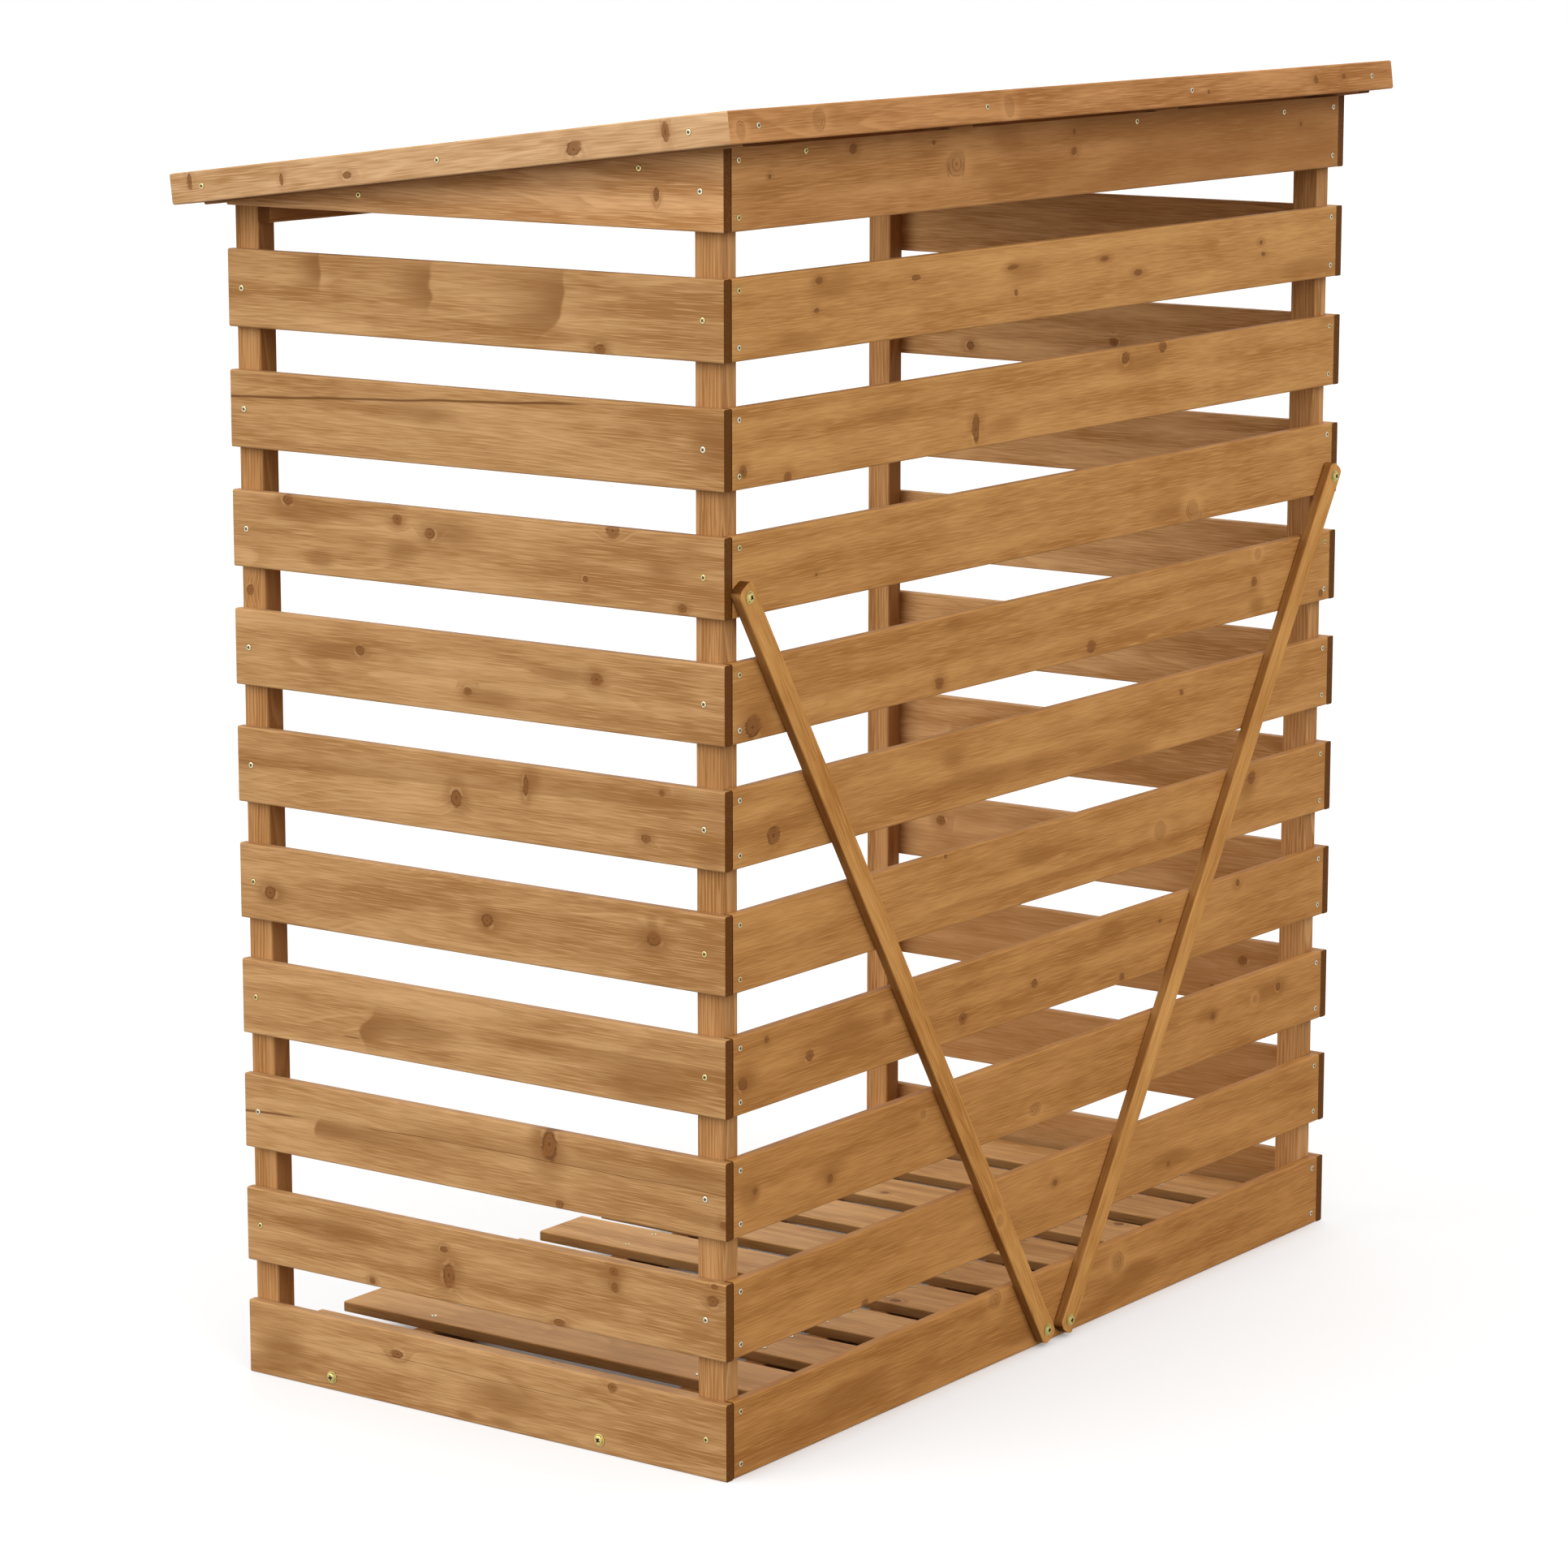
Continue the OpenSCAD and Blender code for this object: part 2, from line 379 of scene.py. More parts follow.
def growth_rings(board, knot, cut):
    """The hard pale edge of each ring, and the soft dark wood that follows it, each from 0 to 1."""
    pith_aside = (board.in_log * 0.7).drift() * (2 * cut.wander) + (cut.aside - cut.wander)
    pith_under = (board.in_log * 0.45).drift() * cut.reach + cut.under
    sideways = board.off_centre + pith_aside
    downwards = board.deep + pith_under
    waver = board.grain.stretched(5, 34, 34).cloud(0.0) * ring_waver
    rings = ((sideways * sideways + downwards * downwards).math("SQRT") + waver) / ring_width
    if knot:
        rings = rings + knot_push * (1 - knot.rise(0.0, knot_reach))
    ring = rings.math("FRACT")
    return ring.rise(0.70, 0.90) * (1 - ring.rise(0.93, 1.0)), 1 - ring.rise(0.0, 0.35)


print("rings", ring_width * 1000, "mm apart")

# %% [markdown]
# ## Stain
# The stain is a thin honey brown. Soft wood drinks more of it and turns deeper, hard wood stays bright, and
# the cut ends drink most. One colour says what a board looks like from afar, and its dark, deep and bright
# neighbours are worked out from it. Dark is for marks, and the grain goes from deep to bright.

# %% Colours of the stain
TONES = {"dark": (0.54, 0.43, 0.33), "deep": (0.72, 0.64, 0.55), "bright": (1.28, 1.40, 1.66)}


def stain(red, green, blue, contrast=1.0):
    """The dark, the deep and the bright colour of one stained wood."""
    plain = srgb(red, green, blue)
    tones = SimpleNamespace()
    for name, change in TONES.items():
        changed = [min(v * (1 + contrast * (k - 1)), 1.0) for v, k in zip(plain, change)]
        setattr(tones, name, (*changed, 1.0))
    return tones


for name, tone in vars(stain(188, 145, 98)).items():
    print("honey stain,", name, [round(v, 2) for v in tone[:3]])

# %% [markdown]
# ## Knots, eyes and clouds
# A knot is a brown disc with a broken dark rim and a dot, and the wood beside it has drunk more stain. An eye
# is a knot that lies just under the face: a pale patch and a few broken ring lines show. A cloud is a soft
# dark patch where the wood drank more, and the same patch also paints shade on the left-hand wall and the
# front posts. Each is drawn over the stain by its distance, which a noise makes lumpy.

# %% Knots, eyes and clouds
KNOT_CORE = srgb(132, 84, 44)
KNOT_RIM = srgb(84, 49, 26)
eye_beat = 15


def knotty(colour, smooth, lumps, soak, fibre, tones):
    """Draws the knots: a stained shadow, a core with a dot, a broken dark rim and a pale torn fleck."""
    shadow = (1 - smooth.rise(0.9, 3.4)) * (0.1 + 0.45 * soak.rise(0.40, 0.60))
    colour = colour.tint(tones.dark, shadow)
    knot = smooth * (0.5 + lumps) + 0.5 * (fibre - 0.5)
    colour = colour.tint(KNOT_CORE, (1 - knot.rise(0.75, 1.15)) * 0.75)
    ring_line = knot.rise(0.38, 0.50) * (1 - knot.rise(0.52, 0.66))
    rim = knot.rise(0.70, 0.88) * (1 - knot.rise(0.92, 1.18))
    colour = colour.tint(KNOT_RIM, rim * lumps.rise(0.36, 0.56) * 0.6 + ring_line * 0.2)
    fleck = knot.rise(1.05, 1.3) * (1 - knot.rise(1.4, 1.9)) * lumps.rise(0.56, 0.70)
    colour = colour.tint(tones.bright, fleck * 0.4)
    return colour.tint(KNOT_RIM, (1 - knot.rise(0.06, 0.30)) * 0.6)


def swirled(colour, smooth, lumps, soak, tones):
    """Draws the eyes: a pale patch round a brownish middle with a few broken ring lines."""
    patch = (1 - smooth.rise(0.9, 2.6)) * (0.2 + 0.5 * soak.rise(0.34, 0.56))
    colour = colour.tint(tones.bright, patch)
    ring = smooth * (0.7 + 0.6 * lumps)
    colour = colour.tint(KNOT_CORE, (1 - ring.rise(0.7, 1.1)) * 0.3)
    lines = (ring * eye_beat).math("SINE").rise(0.2, 0.95) * (1 - ring.rise(0.95, 1.2))
    return colour.tint(KNOT_RIM, lines * (0.2 + 0.8 * lumps.rise(0.42, 0.58)) * 0.4)


def clouded(colour, smooth, soak, tones):
    """Draws the clouds, with edges that a noise makes uneven."""
    uneven = smooth + 1.6 * (soak - 0.5)
    return colour.tint(tones.dark, (1 - uneven.rise(0.3, 1.5)) * 0.55)


print("a knot's core as a shader colour:", [round(v, 3) for v in KNOT_CORE])

# %% [markdown]
# ## Curls, bands and splits
# Where the grain dives under the face, the stain stops at a sharp edge and fades away from it. Across the
# grain that is a curl, and along the grain it is a band of darker wood. A split is a thin dark line. These
# three follow straight lines, so each is a few sums with the distance from a line.

# %% Curls, bands and splits
CRACK = srgb(96, 55, 22)
sharp = 0.006


def curled(board, colour, curls, soak, tones):
    """Curls are (far, over, tail, half_tall, lean), in mm apart from the lean, which is a slope.

    The dark tail runs towards a greater far, or towards a lesser one where tail is below 0.
    """
    for far, over, tail, half_tall, lean in curls:
        height = board.over - over / 1000
        past = (board.far - far / 1000 + lean * height + 0.06 * (soak - 0.5)) * math.copysign(1, tail)
        shade = past.rise(0, sharp) * (1 - past.rise(sharp, abs(tail) / 1000))
        within = 1 - abs(height).rise(half_tall * 0.0002, half_tall * 0.0012)
        colour = colour.tint(tones.dark, shade * within * 0.8)
    return colour


def above_line(board, start, end, over, lift):
    """How far a place lies above a line along the board, and 1 between the line's ends."""
    first, last = start / 1000, end / 1000
    fade = min(50, (end - start) / 3) / 1000
    line = over / 1000 + (board.far - first) * (lift / (end - start))
    inside = board.far.rise(first, first + fade) * (1 - board.far.rise(last - fade, last))
    return board.over - line, inside


def banded(board, colour, bands, tones):
    """Bands are (start, end, over, lift, depth), in mm.

    The dark side is above the line, or under it where depth is below 0.
    """
    for start, end, over, lift, depth in bands:
        above, inside = above_line(board, start, end, over, lift)
        above = above * math.copysign(1, depth)
        shade = above.rise(0, sharp / 3) * (1 - above.rise(sharp / 3, abs(depth) / 1000))
        colour = colour.tint(tones.dark, shade * inside * 0.4)
    return colour


def cracked(board, colour, cracks):
    """Cracks are (start, end, over, lift, width) in mm."""
    sway = board.grain.stretched(6, 0, 0).cloud(1.0) * 0.010 - 0.005
    for start, end, over, lift, width in cracks:
        above, inside = above_line(board, start, end, over, lift)
        split = 1 - abs(above + sway).rise(width / 4000, width / 1000)
        colour = colour.tint(CRACK, split * inside * 0.8)
    return colour


print("a curl's edge is", sharp * 1000, "mm wide")

# %% [markdown]
# ## The whole finish
# The layers go on in the order that a board gets them: stain, soft in some places and streaky in others, then
# ring edges and hairs, and the marks last. Eased edges are painted a little paler, partly as rubbed wear and
# partly as a painted highlight. The sawn ends drink the most. The edge faces of the floor slats and braces
# are darkened as painted shade. Each noise is given in waves a metre: along the grain, across the face and
# through the board.

# %% Stain a board
END_GRAIN = srgb(95, 55, 18)
EDGE_SHADE_COLOUR = srgb(96, 56, 24)
FIBRE_WAVES = (24, 420, 420)
HAIR_WAVES = (18, 700, 700)
SOAK_WAVES = (6, 22, 10)
STREAK_WAVES = (1.6, 55, 20)
LUMP_WAVES = (60, 80, 60)
arris = 0.0026
end_shade_length = 0.30
wood_gloss = 0.04
bump_strength = 0.35
bump_depth = 0.0006


def stained_wood(node, along, across, through, tones, marks=None, count=1, wide=None,
                 cut=FLAT_SAWN, figure=0.5, painted_edge_shade=0.0, painted_end_shade=0.0):
    """Finishes one piece of timber, or a row of like boards. A higher figure shows more of the rings."""
    board = lay_out(node, along, across, through, count, wide)
    marks = marks or {}
    fibre = board.grain.stretched(*FIBRE_WAVES).cloud(1.0)
    hair = board.grain.stretched(*HAIR_WAVES).cloud(0.0)
    soak = board.grain.stretched(*SOAK_WAVES).cloud(1.0)
    streak = board.grain.stretched(*STREAK_WAVES).cloud(0.0)
    lumps = board.grain.stretched(*LUMP_WAVES).cloud(0.0)
    knot, eye, cloud = (nearest(board, marks.get(kind)) for kind in ("knots", "eyes", "clouds"))

    ring_edge, soft_wood = growth_rings(board, knot or eye, cut)
    shown = (streak + 0.6 * (figure - 0.6)).rise(0.36, 0.64)
    uptake = 0.42 + 0.15 * (board.thirst - 0.5) + 1.2 * (soak - 0.5)
    uptake = uptake + 0.9 * (streak - 0.5) + 1.1 * (fibre - 0.5)
    # Painted shade: the wood is darker near the end where far is 0, which on the side walls is the back end.
    if painted_end_shade:
        uptake = uptake - painted_end_shade * (1 - board.far.rise(0.0, end_shade_length))
    colour = uptake.between(tones.deep, tones.bright)
    colour = colour.tint(tones.deep, soft_wood * shown * (figure * 0.6))
    colour = colour.tint(tones.bright, ring_edge * shown * figure)
    colour = colour.tint(tones.bright, hair.rise(0.58, 0.68) * 0.55)
    if cloud:
        colour = clouded(colour, cloud, soak, tones)
    colour = curled(board, colour, marks.get("curls", ()), soak, tones)
    colour = banded(board, colour, marks.get("bands", ()), tones)
    if knot:
        colour = knotty(colour, knot, lumps, soak, fibre, tones)
    if eye:
        colour = swirled(colour, eye, lumps, soak, tones)
    if "cracks" in marks:
        colour = cracked(board, colour, marks["cracks"])
    # Painted shade: faces along the edges of the board are darkened.
    if painted_edge_shade:
        colour = colour.tint(EDGE_SHADE_COLOUR, board.edge_on.rise(0.55, 0.85) * painted_edge_shade)

    half_wide, half_thick = board.wide / 2, board.thick / 2
    # Eased edges are painted paler: partly rubbed wear, partly a painted highlight where they catch the
    # light.
    eased = abs(board.off_centre).rise(half_wide - arris, half_wide)
    eased = eased * abs(board.deep).rise(half_thick - arris, half_thick)
    colour = colour.tint(tones.bright, eased * 0.3)
    colour = colour.tint(END_GRAIN, board.end_on.rise(0.55, 0.85) * (0.97 + 0.3 * (fibre - 0.5)))

    rough = 0.58 + 0.25 * (fibre - 0.5)
    bump_values = {"Strength": bump_strength, "Distance": bump_depth, "Height": hair}
    bump = board.wire.make("ShaderNodeBump", None, bump_values)
    for wire, socket in ((colour, "Base Color"), (rough, "Roughness"), (bump, "Normal")):
        wire.tree.links.new(wire.socket, board.shader.inputs[socket])
    board.shader.inputs["Specular IOR Level"].default_value = wood_gloss
    for material_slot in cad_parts[node].material_slots:
        material_slot.material = board.finish


print("ends are stained", [round(v, 3) for v in END_GRAIN[:3]])

# %% [markdown]
# ## Back wall
# Eleven slats, orange-brown, with few and small knots. Each knot is listed: how far it lies from the
# near end, how high on the slat, and its radius. A row of random knots would look like wood, but not like
# these slats. Each slat is painted a little deeper than the one above, as painted shade towards the ground,
# and the top slat is deeper than the one under it, partly its own tone and partly painted shade under the
# roof.

# %% Back slats
back_top_stain = (192, 139, 79)
back_low_shaded_stain = (177, 122, 64)
# Slat 11 is deeper: partly its own tone, partly painted shade under the roof.
back_own_stain_and_shade = {11: (185, 131, 76)}
back_figure = 0.30
back_knots = {
    11: [(239, 82, 6), (407, 81, 3), (718, 79, 3), (718, 55, 5), (74, 59, 3), (1279, 62, 3), (439, 46, 4, 9),
         (470, 47, 3, 9)],
    10: [(171, 81, 7, 4), (166, 47, 5, 3), (371, 70, 9, 3.5), (582, 68, 10, 3), (589, 36, 4), (793, 64, 9, 3),
         (873, 41, 9, 4), (1180, 59, 5, 3), (1186, 43, 5, 3)],
    9: [(502, 24, 8, 18), (845, 81, 8), (936, 89, 8), (21, 21, 6), (109, 5, 6)],
    8: [(1032, 7, 6), (166, 32, 2)],
    7: [(39, 16, 13), (426, 14, 7), (771, 14, 8), (1177, 49, 6), (1357, 11, 5)],
    6: [(80, 29, 11), (995, 71, 4)],
    5: [(441, 91, 3), (1179, 76, 8)],
    4: [(66, 81, 4), (154, 44, 7), (18, 36, 8), (482, 26, 7), (646, 40, 6), (856, 9, 5), (949, 67, 3),
        (1148, 84, 5)],
    3: [(43, 49, 4), (196, 31, 5), (1089, 58, 5), (1261, 66, 6)],
    2: [(699, 61, 5, 4), (979, 25, 3), (271, 2, 6)],
    1: [(855, 66, 5)],
}
back_eyes = {
    11: [(456, 53, 20, 16)],
    8: [(1014, 16, 14)],
    7: [(1186, 85, 8)],
    5: [(946, 42, 13)],
    3: [(650, 22, 14, 9), (396, 69, 6), (1200, 61, 6)],
    1: [(561, 86, 13), (855, 66, 15, 14)],
}
back_clouds = {
    11: [(570, 75, 45, 25), (1080, 60, 480, 120)],
    10: [(125, 16, 45, 10), (1300, 20, 85, 14), (200, 75, 60, 16), (600, 60, 50, 15)],
    9: [(318, 58, 38, 9), (870, 70, 60, 14), (560, 25, 40, 12)],
    8: [(950, 20, 60, 12)],
    7: [(60, 20, 50, 22), (1186, 15, 18, 13), (460, 84, 22, 9)],
    6: [(868, 12, 65, 12), (560, 30, 180, 14), (455, 62, 25, 12)],
    5: [(1165, 60, 26, 16), (640, 60, 40, 16)],
    4: [(318, 62, 14, 12), (825, 78, 22, 9), (30, 40, 34, 22), (240, 60, 60, 20)],
    3: [(30, 45, 22, 22), (190, 40, 34, 16), (1070, 62, 40, 12), (1240, 64, 60, 14)],
    2: [(1000, 30, 50, 12)],
    1: [(240, 45, 100, 22), (900, 40, 80, 20), (620, 20, 60, 14)],
}
back_bands = {
    7: [(790, 1210, 28, 12, -22)],
    6: [(-60, 195, 48, 0, -38)],
    5: [(380, 1060, 28, 3, -14)],
    1: [(-60, 400, 18, -4, -16)],
}
for number in range(1, back_slat_count + 1):
    # Painted shade: the stain is deeper for lower slats, darker towards the ground.
    height = (number - 1) / (back_slat_count - 1)
    shade = [low + (top - low) * height for low, top in zip(back_low_shaded_stain, back_top_stain)]
    tones = stain(*back_own_stain_and_shade.get(number, shade), contrast=0.85)
    kinds = {"knots": back_knots, "eyes": back_eyes, "clouds": back_clouds, "bands": back_bands}
    marks = {kind: slats.get(number, ()) for kind, slats in kinds.items()}
    stained_wood("back_slat_%d" % number, -RIGHT, UP, BACKWARD, tones, marks, figure=back_figure)
print("back slats finished:", back_slat_count)

# %% [markdown]
# ## Side walls
# The slats of a side wall are one piece of the frame, so one stain covers all ten. The marks of the
# right-hand wall are listed, and some of its slats are split. The knots of the left-hand wall are
# dealt out by a seeded draw, and one wide cloud darkens its lowest slats as painted shade.

# %% Side slats
SIDE_STAIN = stain(180, 135, 85)
LEFT_STAIN = stain(193, 146, 93)
# The top boards are painted paler: painted light that lifts the shade under the roof overhang.
TOP_BOARD_STAIN_AND_LIGHT = stain(206, 155, 101)
right_knots = {
    10: [(178, 6, 8, 6)],
    8: [(661, 89, 7), (487, 79, 6), (436, 65, 7), (161, 91, 8), (202, 31, 4), (60, 9, 5)],
    7: [(549, 61, 6), (186, 62, 7), (381, 28, 5)],
    6: [(401, 43, 8, 12), (294, 70, 4, 13), (115, 27, 7, 5), (91, 84, 4)],
    5: [(701, 37, 8), (355, 46, 9, 7.5), (104, 56, 10, 9)],
    3: [(263, 78, 12, 21), (248, 6, 6, 5), (2, 20, 5)],
    2: [(430, 67, 6, 4), (422, 35, 9, 15), (167, 84, 6, 5), (165, 64, 5, 6), (19, 72, 7), (17, 91, 4),
        (250, 6, 8, 5), (545, 7, 4)],
    1: [(506, 67, 10, 6), (170, 86, 6)],
}
right_clouds = {
    9: [(440, 62, 60, 14), (10, 60, 40, 30)],
    8: [(475, 42, 30, 14), (90, 50, 32, 14), (405, 68, 35, 14), (640, 80, 45, 16), (610, 20, 20, 12)],
    7: [(230, 60, 50, 12), (590, 58, 50, 9), (350, 22, 42, 12)],
    6: [(285, 74, 14, 20), (395, 40, 16, 14), (20, 15, 24, 16)],
    5: [(690, 37, 34, 14), (350, 46, 32, 14), (110, 55, 36, 18)],
    4: [(120, 25, 60, 30), (480, 40, 60, 14)],
    3: [(268, 80, 24, 24), (30, 22, 50, 12), (40, 75, 40, 14)],
    2: [(425, 38, 24, 24), (170, 75, 26, 18), (620, 60, 60, 16)],
    1: [(660, 24, 18, 5), (340, 11, 22, 6), (398, 9, 14, 5), (700, 30, 40, 30), (335, 40, 50, 20)],
}
right_curls = {
    10: [(594, 78, 60, 34, 0.0), (429, 66, 75, 36, 0.0), (235, 55, 125, 52, 0.48)],
    4: [(549, 33, -65, 30, 0.43)],
    3: [(635, 43, -290, 14, 0.1)],
}
right_bands = {
    6: [(-60, 810, 71, -27, 35)],
    4: [(-60, 350, 60, -2, -30)],
    3: [(-60, 500, 57, -1, 28)],
}
right_cracks = {
    9: [(190, 830, 89, -31, 2.3)],
    4: [(556, 590, 18, 1, 1.2)],
    3: [(640, 810, 51, -7, 2.4), (-60, 575, 57, -1, 0.7)],
    1: [(170, 580, 61, 0, 0.5)],
}
left_knots_a_slat = 2
left_draw = random.Random(11)
left_knots = {}
for number in range(1, side_slat_count + 1):
    left_knots[number] = [
        (left_draw.randint(30, 720), left_draw.randint(8, 88), left_draw.randint(4, 7))
        for _ in range(left_knots_a_slat)
    ]
step_mm = slat_step * 1000


def up_the_wall(slats, over_at=1):
    """The marks of each slat as one list, with heights above the lowest slat."""
    raised = []
    for number, spots in slats.items():
        lift = (number - 1) * step_mm
        raised += [(*spot[:over_at], spot[over_at] + lift, *spot[over_at + 1:]) for spot in spots]
    return raised


right_marks = {
    "knots": up_the_wall(right_knots),
    "clouds": up_the_wall(right_clouds),
    "curls": up_the_wall(right_curls),
    "bands": up_the_wall(right_bands, over_at=2),
    "cracks": up_the_wall(right_cracks, over_at=2),
}
# The wide cloud on the left-hand wall is painted shade that darkens its lowest slats.
left_marks = {"knots": up_the_wall(left_knots), "clouds": [(375, 150, 2000, 500)]}
top_board_marks = {"knots": [(95, 40, 4, 8)], "bands": [(-60, 200, 50, 8, 24)]}
# The back ends of both side walls get painted shade.
for wall, tones, marks in (("right", SIDE_STAIN, right_marks), ("left", LEFT_STAIN, left_marks)):
    stained_wood(wall + "_side_slats", -BACKWARD, UP, RIGHT, tones, marks, side_slat_count, slat_wide,
                 painted_end_shade=0.26)
stained_wood("right_top_board", -BACKWARD, UP, RIGHT, TOP_BOARD_STAIN_AND_LIGHT, top_board_marks)
stained_wood("left_top_board", -BACKWARD, UP, RIGHT, TOP_BOARD_STAIN_AND_LIGHT)
print("side slats finished:", 2 * side_slat_count)

# %% [markdown]
# ## Posts, rail and braces
# These are straight-grained lengths. The posts show their rings as upright stripes, and the inner faces of
# the front posts are painted darker as shade. The braces are a deeper orange, and their grain leans with
# them.

# %% Posts and rail
POST_STAIN = stain(175, 126, 75)
post_figure = 0.95
# Painted shade on the back faces of the front posts, which face into the store.
inner_face_painted_shade = [(800, 38, 5000, 2)]
post_marks = {
    "right_front_post": {"knots": [(1003, 13, 6)], "clouds": inner_face_painted_shade},
    "left_front_post": {"clouds": inner_face_painted_shade},
}
for node in ("right_front_post", "right_back_post", "left_front_post", "left_back_post"):
    stained_wood(node, UP, BACKWARD, RIGHT, POST_STAIN, post_marks.get(node),
                 cut=QUARTER_SAWN, figure=post_figure)
stained_wood("front_rail", RIGHT, UP, BACKWARD, POST_STAIN)
print("posts and rail finished")

# %% Braces
BRACE_STAIN = stain(195, 138, 72)
brace_figure = 0.28
brace_foot = Vector((0.027, 0, 0.023))
brace_head = Vector((0.675, 0, 1.0575))
LEAN = (brace_head - brace_foot).normalized()
brace_marks = {"right_brace": {"eyes": [(222, 20, 8)]}}
for node, lean in (("right_brace", LEAN), ("left_brace", Vector((-LEAN.x, 0, LEAN.z)))):
    stained_wood(node, lean, BACKWARD.cross(lean), BACKWARD, BRACE_STAIN, brace_marks.get(node),
                 figure=brace_figure, painted_edge_shade=0.55)
print("braces lean %.1f degrees" % math.degrees(math.atan2(LEAN.z, LEAN.x)))

# %% [markdown]
# ## Floor and roof
# The floor slats run from front to back on two bearers. Their faces are paler than the walls. The roof is
# six boards on rafters, with a fascia all round. The side fascias are among the palest boards.

# %% Floor slats and bearers
FLOOR_STAIN = stain(199, 150, 91)
BEARER_STAIN = stain(176, 128, 80)
floor_slat_count = 10
floor_knot_count = 18
bearers = ("front_bearer", "back_bearer")
floor_draw = random.Random(5)
floor_knots = [
    (floor_draw.randint(40, 690), floor_draw.randint(0, 1300), floor_draw.randint(4, 7))
    for _ in range(floor_knot_count)
]
stained_wood("floor_slats", -BACKWARD, RIGHT, UP, FLOOR_STAIN, {"knots": floor_knots},
             floor_slat_count, slat_wide, painted_edge_shade=0.65)
for node in bearers:
    stained_wood(node, RIGHT, UP, BACKWARD, BEARER_STAIN)
print("floor slats finished:", floor_slat_count)

# %% Roof
ROOF_STAIN = stain(188, 143, 94, contrast=0.65)
SIDE_FASCIA_STAIN = stain(199, 156, 108)
BACK_FASCIA_STAIN = stain(187, 131, 77)
rafters = ("right_end_rafter", "right_mid_rafter", "left_mid_rafter", "left_end_rafter")
side_fascia_marks = {
    "knots": [(814, 27, 4, 10), (667, 16, 3, 7), (564, 13, 7, 5), (222, 14, 9), (89, 22, 5, 11)],
}
back_fascia_marks = {
    "knots": [(1030, 15, 3), (1305, 20, 5), (1379, 21, 4)],
    "eyes": [(22, 16, 9, 11), (173, 20, 13, 14), (568, 17, 11, 13)],
}
stained_wood("right_fascia", -UP_ROOF, OFF_ROOF, RIGHT, SIDE_FASCIA_STAIN, side_fascia_marks)
stained_wood("left_fascia", -UP_ROOF, OFF_ROOF, RIGHT, SIDE_FASCIA_STAIN)
stained_wood("back_fascia", -RIGHT, OFF_ROOF, UP_ROOF, BACK_FASCIA_STAIN, back_fascia_marks)
stained_wood("front_fascia", -RIGHT, OFF_ROOF, UP_ROOF, BACK_FASCIA_STAIN)
for node in rafters:
    stained_wood(node, UP_ROOF, OFF_ROOF, RIGHT, BEARER_STAIN)
roof_board_count = sum(name.startswith("roof_board_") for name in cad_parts)
for number in range(1, roof_board_count + 1):
    stained_wood("roof_board_%d" % number, RIGHT, UP_ROOF, OFF_ROOF, ROOF_STAIN)
print("roof boards finished:", roof_board_count)

# %% [markdown]
# ## Screws and bolts
# Countersunk cross-head screws hold the slats, and pan-head bolts hold the braces and the floor bearers.
# A head could be a plain disc with a painted cross. Here the cross is a real recess: an octagon grows four
# arms, a round rim is bridged to it, and the rim is turned down in steps.

# %% A cross-head
head_sides = 16
core_sides = 8


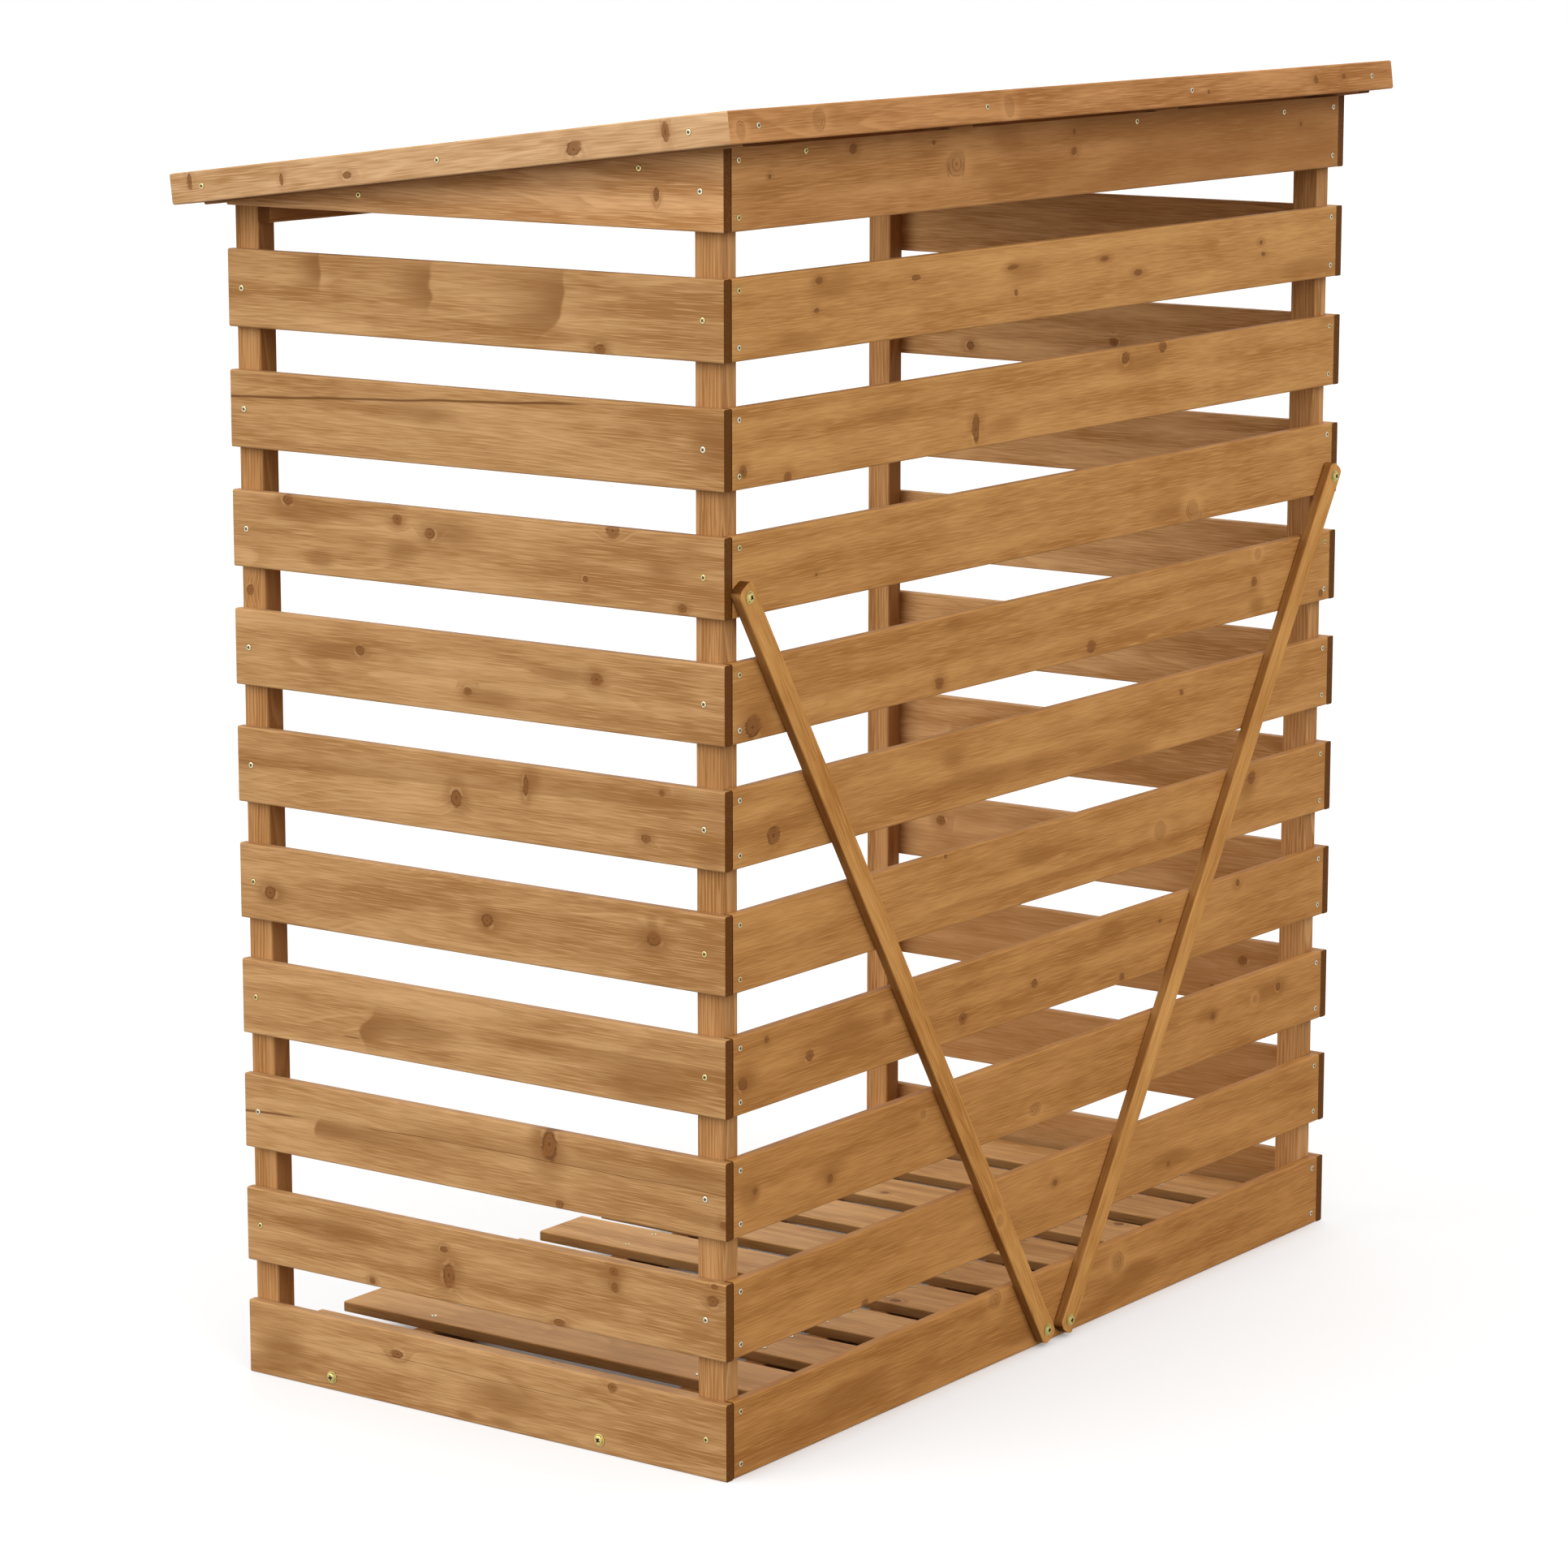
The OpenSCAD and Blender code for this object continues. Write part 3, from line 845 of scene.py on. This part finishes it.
def cross_head(name, arm_reach, arm_wide, recess, profile):
    """A head that faces up: a cross of given reach, width and depth inside rim steps (radius, height)."""
    head = bmesh.new()
    top_radius, top_height = profile[0]
    core_radius = arm_wide / 2 / math.sin(math.pi / core_sides)
    half_turn = Matrix.Rotation(math.pi / core_sides, 3, "Z")
    core = bmesh.ops.create_circle(head, cap_ends=True, radius=core_radius, segments=core_sides)["verts"]
    bmesh.ops.rotate(head, verts=core, cent=(0, 0, 0), matrix=half_turn)
    roots = []
    for edge in head.edges:
        outwards = edge.verts[0].co + edge.verts[1].co
        if min(abs(outwards.x), abs(outwards.y)) < 1e-6:
            roots.append(edge)
    grown = bmesh.ops.extrude_edge_only(head, edges=roots)["geom"]
    for corner in (part for part in grown if isinstance(part, bmesh.types.BMVert)):
        axis = 0 if abs(corner.co.x) > abs(corner.co.y) else 1
        corner.co[axis] = math.copysign(arm_reach, corner.co[axis])

    cross = list(head.faces)
    outline = [edge for edge in head.edges if edge.is_boundary]
    rim = bmesh.ops.create_circle(head, radius=top_radius, segments=head_sides)["verts"]
    bmesh.ops.rotate(head, verts=rim, cent=(0, 0, 0), matrix=Matrix.Rotation(math.pi / head_sides, 3, "Z"))
    rim_edges = list({edge for corner in rim for edge in corner.link_edges})
    bmesh.ops.bridge_loops(head, edges=outline + rim_edges)
    bmesh.ops.translate(head, verts=head.verts, vec=(0, 0, top_height))

    sunk = bmesh.ops.extrude_face_region(head, geom=cross)["geom"]
    floor = [part for part in sunk if isinstance(part, bmesh.types.BMVert)]
    bmesh.ops.translate(head, verts=floor, vec=(0, 0, -recess))
    # The recess gets the second, dark finish: painted shade.
    dark = {face for corner in floor for face in corner.link_faces}
    bmesh.ops.delete(head, geom=[face for face in cross if face.is_valid], context="FACES_ONLY")

    for (radius, height), (next_radius, next_height) in zip(profile, profile[1:]):
        turned = bmesh.ops.extrude_edge_only(head, edges=rim_edges)["geom"]
        corners = [part for part in turned if isinstance(part, bmesh.types.BMVert)]
        rim_edges = [part for part in turned if isinstance(part, bmesh.types.BMEdge)]
        bmesh.ops.scale(head, verts=corners, vec=(next_radius / radius, next_radius / radius, 1))
        bmesh.ops.translate(head, verts=corners, vec=(0, 0, next_height - height))
    # The last rim step, where the head meets the wood, also gets the dark finish: a painted shadow line round
    # the head.
    dark |= {face for corner in corners for face in corner.link_faces}
    bmesh.ops.edgeloop_fill(head, edges=rim_edges)
    bmesh.ops.recalc_face_normals(head, faces=head.faces)
    for face in head.faces:
        face.material_index = 1 if face in dark else 0
    shape = bpy.data.meshes.new(name)
    head.to_mesh(shape)
    print(name, len(head.faces), "faces, open edges:", sum(edge.is_boundary for edge in head.edges))
    head.free()
    return shape


screw_rim = [(0.0029, 0.0006), (0.0036, 0.0003), (0.0043, -0.0001)]
bolt_rim = [
    (0.0042, 0.0036), (0.0057, 0.0029), (0.0063, 0.0014),
    (0.0064, 0.0009), (0.0078, 0.0007), (0.0078, -0.0004),
]
screw_head = cross_head("screw_head", arm_reach=0.0023, arm_wide=0.0013, recess=0.0005, profile=screw_rim)
bolt_head = cross_head("bolt_head", arm_reach=0.0034, arm_wide=0.0017, recess=0.0022, profile=bolt_rim)

# %% [markdown]
# ## Zinc
# The screws and bolts are zinc plated with a faint yellow cast. The plating is bright. The recess, and a thin
# ring where each head meets the wood, have a dark finish that is painted shade.

# %% Zinc finish
ZINC_SILVER = srgb(210, 200, 174)
ZINC_YELLOW = srgb(200, 178, 112)
ZINC_GREEN = srgb(176, 168, 104)


def plated(name, first, second, patch_size):
    """Bright plating that goes from one colour to another in patches of a given size."""
    finish, shader, wire = new_finish(name)
    often = 1 / patch_size
    plating = wire.make("ShaderNodeTexCoord", out="Object").stretched(often, often, often).cloud(1.0)
    colour = plating.rise(0.35, 0.65).between(first, second)
    rough = 0.26 + 0.2 * plating
    finish.node_tree.links.new(colour.socket, shader.inputs["Base Color"])
    finish.node_tree.links.new(rough.socket, shader.inputs["Roughness"])
    shader.inputs["Metallic"].default_value = 1.0
    return finish


screw_zinc = plated("screw_zinc", ZINC_SILVER, ZINC_YELLOW, 0.11)
bolt_zinc = plated("bolt_zinc", ZINC_GREEN, ZINC_YELLOW, 0.02)

painted_recess_shade, recess_shader, wire = new_finish("painted_recess_shade")
recess_mottle = wire.make("ShaderNodeTexCoord", out="Object").stretched(700, 700, 700).cloud(1.0)
recess_colour = recess_mottle.between(srgb(38, 30, 22), srgb(82, 68, 48))
painted_recess_shade.node_tree.links.new(recess_colour.socket, recess_shader.inputs["Base Color"])
recess_shader.inputs["Roughness"].default_value = 0.6
print("zinc finishes:", screw_zinc.name, bolt_zinc.name, painted_recess_shade.name)

# %% [markdown]
# ## Driving them in
# Each head is copied to its place and turned further round than the one before, so that the crosses stand
# every way, as on hand-driven screws. All the screws of one wall are joined, so a wall is one piece.

# %% Drive a row of heads in
turn_between = 2.4


def drive_in(name, head, places, zinc=screw_zinc):
    """Sets a head at every place, facing outwards, and joins them as one piece."""
    joined = bmesh.new()
    for number, (spot, facing) in enumerate(places):
        joined.from_mesh(head)
        joined.verts.ensure_lookup_table()
        fresh = joined.verts[-len(head.vertices):]
        turned = facing.to_track_quat("Z", "Y").to_matrix().to_4x4()
        twist = Matrix.Rotation(number * turn_between, 4, "Z")
        bmesh.ops.transform(joined, matrix=Matrix.Translation(spot) @ turned @ twist, verts=fresh)
    shape = bpy.data.meshes.new(name)
    joined.to_mesh(shape)
    joined.free()
    for finish in (zinc, painted_recess_shade):
        shape.materials.append(finish)
    piece = bpy.data.objects.new(name, shape)
    bpy.context.scene.collection.objects.link(piece)
    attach(piece, "root")
    print(name, "has", len(places), "heads")


print("each head is turned %.0f degrees further than the last" % math.degrees(turn_between))

# %% Side walls
wall_x = reach("right_side_slats", RIGHT)[1]
front_y, back_y = reach("right_side_slats", BACKWARD)
front_edge, back_edge = 0.021, 0.030
top_board_screws = [(front_y + 0.210, 1.496), (front_y + 0.630, 1.544), (back_y - 0.033, 1.521)]

side_spots = [(back_y - back_edge, slat_wide / 2)]
for number in range(1, side_slat_count):
    height = number * slat_step + slat_wide / 2
    side_spots += [(front_y + front_edge, height), (back_y - back_edge, height)]
side_spots += top_board_screws
for wall, way in (("right", 1), ("left", -1)):
    places = [(Vector((way * wall_x, y, z)), way * RIGHT) for y, z in side_spots]
    drive_in(wall + "_side_screws", screw_head, places)

# %% Back wall
back_face = reach("back_slat_1", BACKWARD)[1]
back_screw_x = 0.676
slat_screw_heights = (0.016, 0.081)
top_slat_screws = [(0.545, 1.560), (-0.176, 1.560), (-0.545, 1.555)]

back_spots = [
    (way * back_screw_x, number * slat_step + height)
    for number in range(back_slat_count) for way in (1, -1) for height in slat_screw_heights
]
back_spots += top_slat_screws
drive_in("back_screws", screw_head, [(Vector((x, back_face, z)), BACKWARD) for x, z in back_spots])

# %% Roof
rafter_x = [middle(node, RIGHT) for node in rafters]
fascia_x = reach("right_fascia", RIGHT)[1]
roof_front, roof_back = reach("right_fascia", UP_ROOF)
fascia_mid = middle("right_fascia", OFF_ROOF)
side_fascia_screws = (0.050, 0.421, 0.789)
board_screw_edge = 0.032
board_screw_end = 0.035


def on_the_roof(x, up_roof, off_roof):
    return RIGHT * x + UP_ROOF * up_roof + OFF_ROOF * off_roof


roof_places = [
    (on_the_roof(way * fascia_x, roof_front + far, fascia_mid), way * RIGHT)
    for way in (1, -1) for far in side_fascia_screws
]
roof_places += [(on_the_roof(x, roof_back, fascia_mid), UP_ROOF) for x in rafter_x]
roof_places += [(on_the_roof(x, roof_front, fascia_mid), -UP_ROOF) for x in rafter_x]
for number in range(1, roof_board_count + 1):
    board_low, board_high = reach("roof_board_%d" % number, UP_ROOF)
    board_top = reach("roof_board_%d" % number, OFF_ROOF)[1]
    for x in rafter_x:
        inner_x = max(min(x, fascia_x - board_screw_end), board_screw_end - fascia_x)
        for up_roof in (board_low + board_screw_edge, board_high - board_screw_edge):
            roof_places.append((on_the_roof(inner_x, up_roof, board_top), OFF_ROOF))
drive_in("roof_screws", screw_head, roof_places)

# %% Floor
floor_low, floor_high = reach("floor_slats", RIGHT)
floor_step = (floor_high - floor_low - slat_wide) / (floor_slat_count - 1)
floor_top = reach("floor_slats", UP)[1]
bearer_y = [middle(node, BACKWARD) for node in bearers]
floor_screw_edge = 0.018

floor_places = [
    (Vector((floor_low + number * floor_step + edge, y, floor_top)), UP)
    for number in range(floor_slat_count) for y in bearer_y
    for edge in (floor_screw_edge, slat_wide - floor_screw_edge)
]
drive_in("floor_screws", screw_head, floor_places)

# %% Bolts
brace_face = reach("right_brace", BACKWARD)[1]
bearer_mid = middle("front_bearer", UP)

bolt_places = [
    (Vector((way * end.x, brace_face, end.z)), BACKWARD)
    for way in (1, -1) for end in (brace_foot, brace_head)
]
bolt_places += [(Vector((way * wall_x, y, bearer_mid)), way * RIGHT) for way in (1, -1) for y in bearer_y]
drive_in("brace_and_bearer_bolts", bolt_head, bolt_places, bolt_zinc)

# %% [markdown]
# The dressed store may stand only a little proud of the timber.
